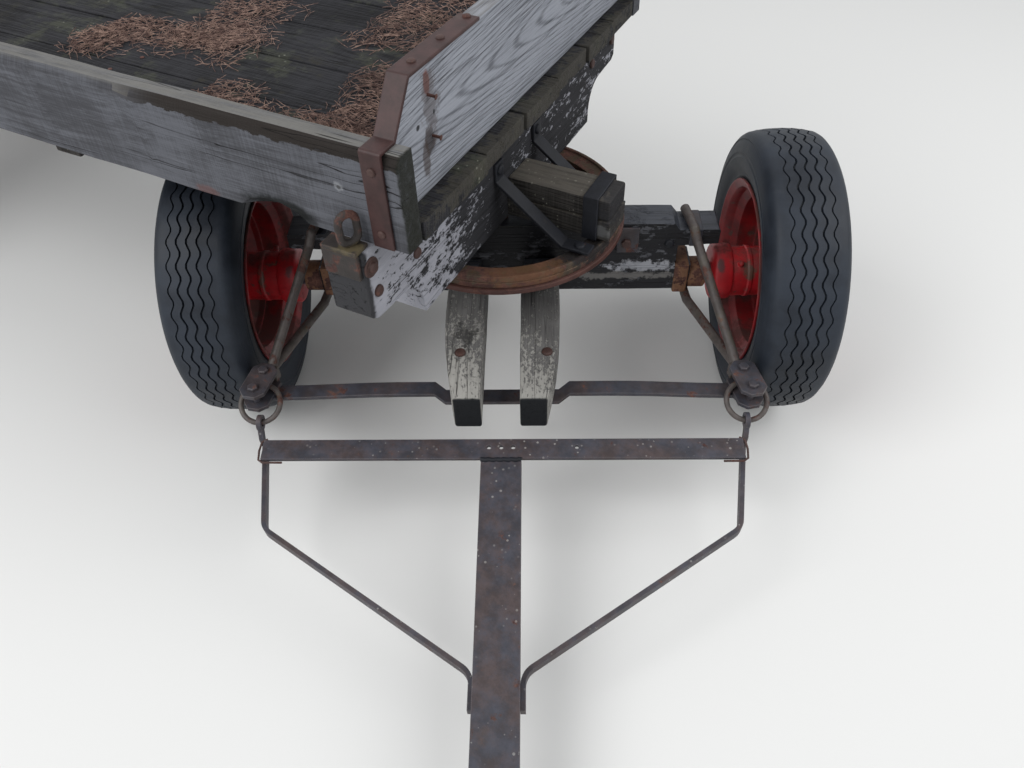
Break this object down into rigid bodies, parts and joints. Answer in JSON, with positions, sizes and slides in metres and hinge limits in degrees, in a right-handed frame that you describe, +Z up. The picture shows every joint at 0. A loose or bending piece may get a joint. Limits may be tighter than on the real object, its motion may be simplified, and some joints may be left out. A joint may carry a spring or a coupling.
{
  "type": "hay wagon",
  "caption": "Flat-bed farm hay wagon on pneumatic tyres, with plank sides, end boards, a turntable front carriage and an iron drawbar with link rings.",
  "frame": {"origin": "on the ground, in the middle of the box around the wagon as it parks, with the front carriage turned to the right and the drawbar's eye on the ground", "axes": "+X along the bed towards its front, +Y towards the wagon's left, +Z up"},
  "size_m": [3.9269, 2.8141, 1.0603],
  "materials": {
    "deck_wood": "dark weathered planks",
    "beam_wood": "grey weathered timber",
    "board_wood": "silvered bare timber",
    "bolster_wood": "peeling white paint over dark timber",
    "frame_wood": "dark weathered timber",
    "axle_wood": "worn black paint",
    "hound_wood": "grey timber with paint flecks",
    "rusted_iron": "rusted",
    "black_iron": "worn black paint with rust",
    "drawbar_iron": "faded dark paint with rust patches",
    "wheel_red": "worn red paint",
    "tyre": "dusty blue-black rubber"
  },
  "bodies": {
    "bed": {"deck_planks": "deck_wood", "side_beams": "beam_wood", "front_board": "board_wood", "rear_board": "board_wood", "corner_straps": "rusted_iron", "front_bolster": "bolster_wood", "rear_bolster": "bolster_wood", "middle_bearers": "frame_wood", "sills": "frame_wood", "ring_timber": "frame_wood", "upper_ring": "rusted_iron", "kingpin": "rusted_iron", "ring_braces": "black_iron", "ring_strap": "rusted_iron", "stake_loops": "rusted_iron", "rear_axle_beam": "axle_wood", "rear_axle_tree": "axle_wood", "rear_axle": "black_iron"},
    "front_carriage": {"front_axle_beam": "axle_wood", "front_axle_tree": "axle_wood", "front_axle": "black_iron", "lower_ring": "rusted_iron", "hounds": "hound_wood", "hound_blocks": "hound_wood", "splinter_bar": "black_iron", "clevis_plates": "rusted_iron", "clevis_bolts": "rusted_iron", "link_rings": "rusted_iron", "stay_rods": "black_iron"},
    "drawbar": {"crossbar": "drawbar_iron", "tongue": "drawbar_iron", "hitch_eye": "drawbar_iron", "side_irons": "rusted_iron"},
    "front_left_wheel": {"front_left_tyre": "tyre", "front_left_rim": "wheel_red", "front_left_hub": "wheel_red"},
    "front_right_wheel": {"front_right_tyre": "tyre", "front_right_rim": "wheel_red", "front_right_hub": "wheel_red"},
    "rear_left_wheel": {"rear_left_tyre": "tyre", "rear_left_rim": "wheel_red", "rear_left_hub": "wheel_red"},
    "rear_right_wheel": {"rear_right_tyre": "tyre", "rear_right_rim": "wheel_red", "rear_right_hub": "wheel_red"}
  },
  "joints": [
    {"name": "steering", "type": "hinge", "parent": "bed", "child": "front_carriage", "pos_m": [0.93596, 0.65128, 0.5193], "axis": [0, 0, 1], "range_deg": [-26, 154]},
    {"name": "drawbar_lift", "type": "hinge", "parent": "front_carriage", "child": "drawbar", "pos_m": [1.11929, 0.2754, 0.257], "axis": [-0.8988, -0.4384, 0], "range_deg": [0, 60]},
    {"name": "front_left_spin", "type": "hinge", "parent": "front_carriage", "child": "front_left_wheel", "pos_m": [1.52287, 0.93754, 0.335], "axis": [0.8988, 0.4384, 0], "continuous": true},
    {"name": "front_right_spin", "type": "hinge", "parent": "front_carriage", "child": "front_right_wheel", "pos_m": [0.34905, 0.36503, 0.335], "axis": [0.8988, 0.4384, 0], "continuous": true},
    {"name": "rear_left_spin", "type": "hinge", "parent": "bed", "child": "rear_left_wheel", "pos_m": [-1.36404, 1.30428, 0.335], "axis": [0, 1, 0], "continuous": true},
    {"name": "rear_right_spin", "type": "hinge", "parent": "bed", "child": "rear_right_wheel", "pos_m": [-1.36404, -0.00172, 0.335], "axis": [0, 1, 0], "continuous": true}
  ]
}
